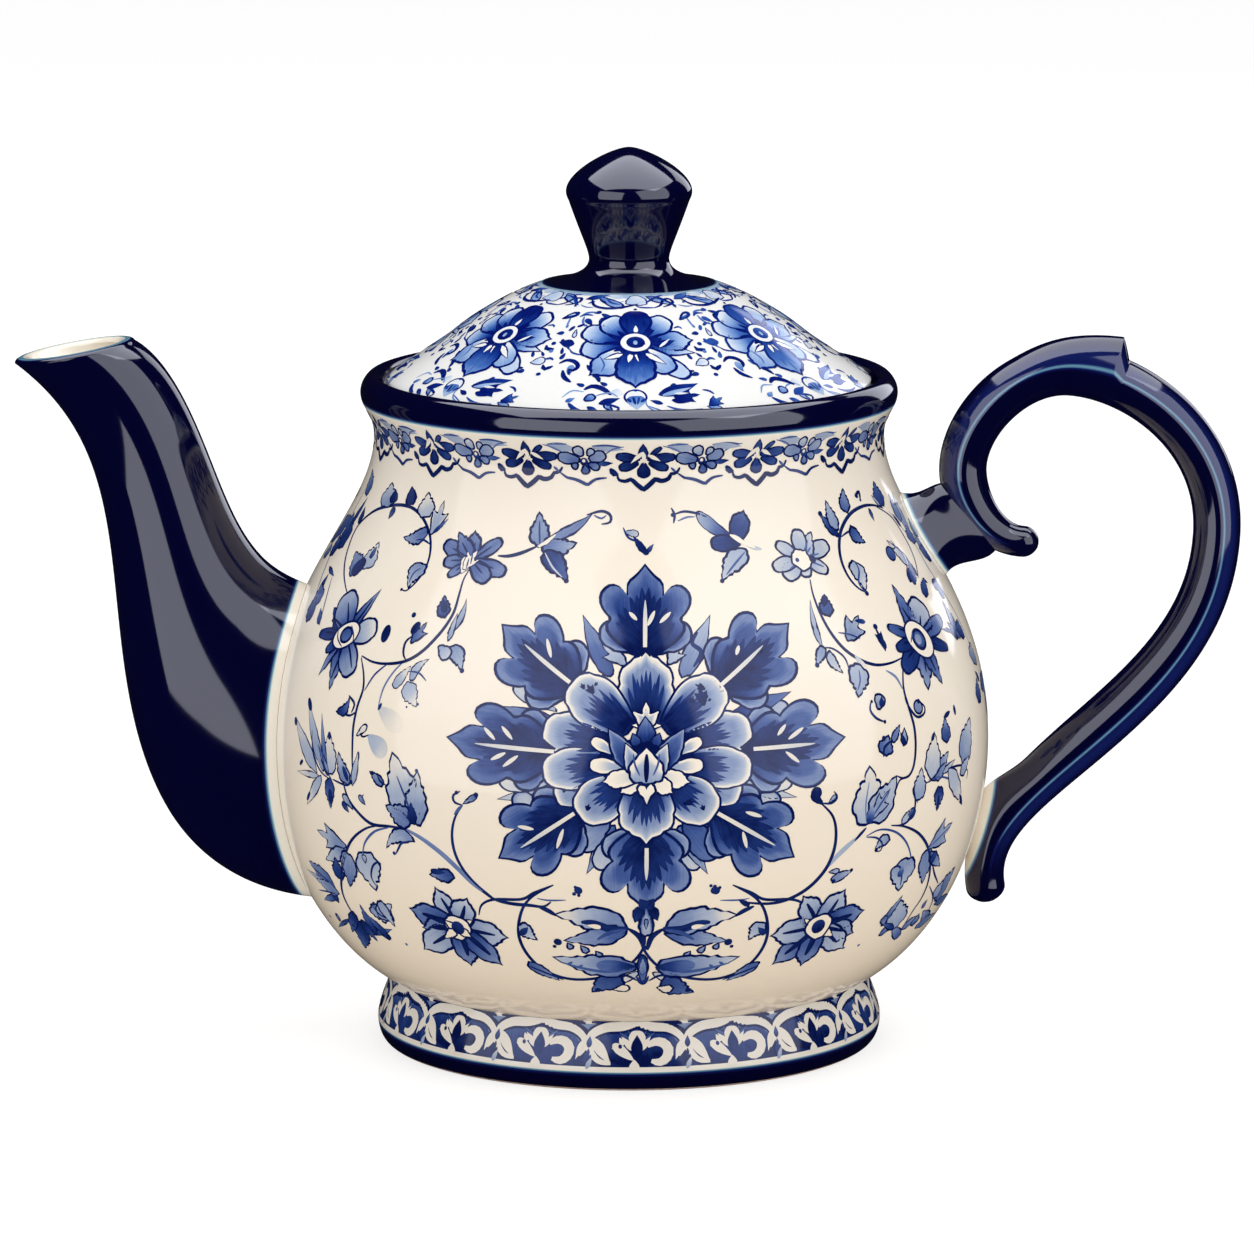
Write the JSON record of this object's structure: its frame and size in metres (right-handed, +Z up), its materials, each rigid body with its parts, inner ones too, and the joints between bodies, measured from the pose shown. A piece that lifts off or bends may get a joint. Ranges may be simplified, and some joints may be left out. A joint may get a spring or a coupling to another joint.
{
  "type": "teapot",
  "caption": "Round porcelain teapot with a lift-off domed lid, swan-neck spout, scrolled bow handle and underglaze blue flower painting.",
  "frame": {"origin": "centre of the foot on the table plane, on the pot's own axis", "axes": "+Z up along the pot's axis, -X out along the spout, +X out along the handle, -Y towards the painted front"},
  "size_m": [0.239, 0.141, 0.1759],
  "materials": {
    "porcelain": "gloss",
    "cobalt_glaze": "gloss"
  },
  "bodies": {
    "pot": {"pot_belly": "porcelain", "pot_shoulder": "porcelain", "foot_ring": "porcelain", "rim_collar": "cobalt_glaze", "spout": "cobalt_glaze", "spout_strainer": "porcelain", "handle": "cobalt_glaze"},
    "lid": {"lid_dome": "porcelain", "lid_flange": "porcelain", "lid_knob": "cobalt_glaze"}
  },
  "joints": [
    {"name": "lid_lift", "type": "slide", "parent": "pot", "child": "lid", "axis": [0, 0, 1], "range_m": [0, 0.04]}
  ]
}
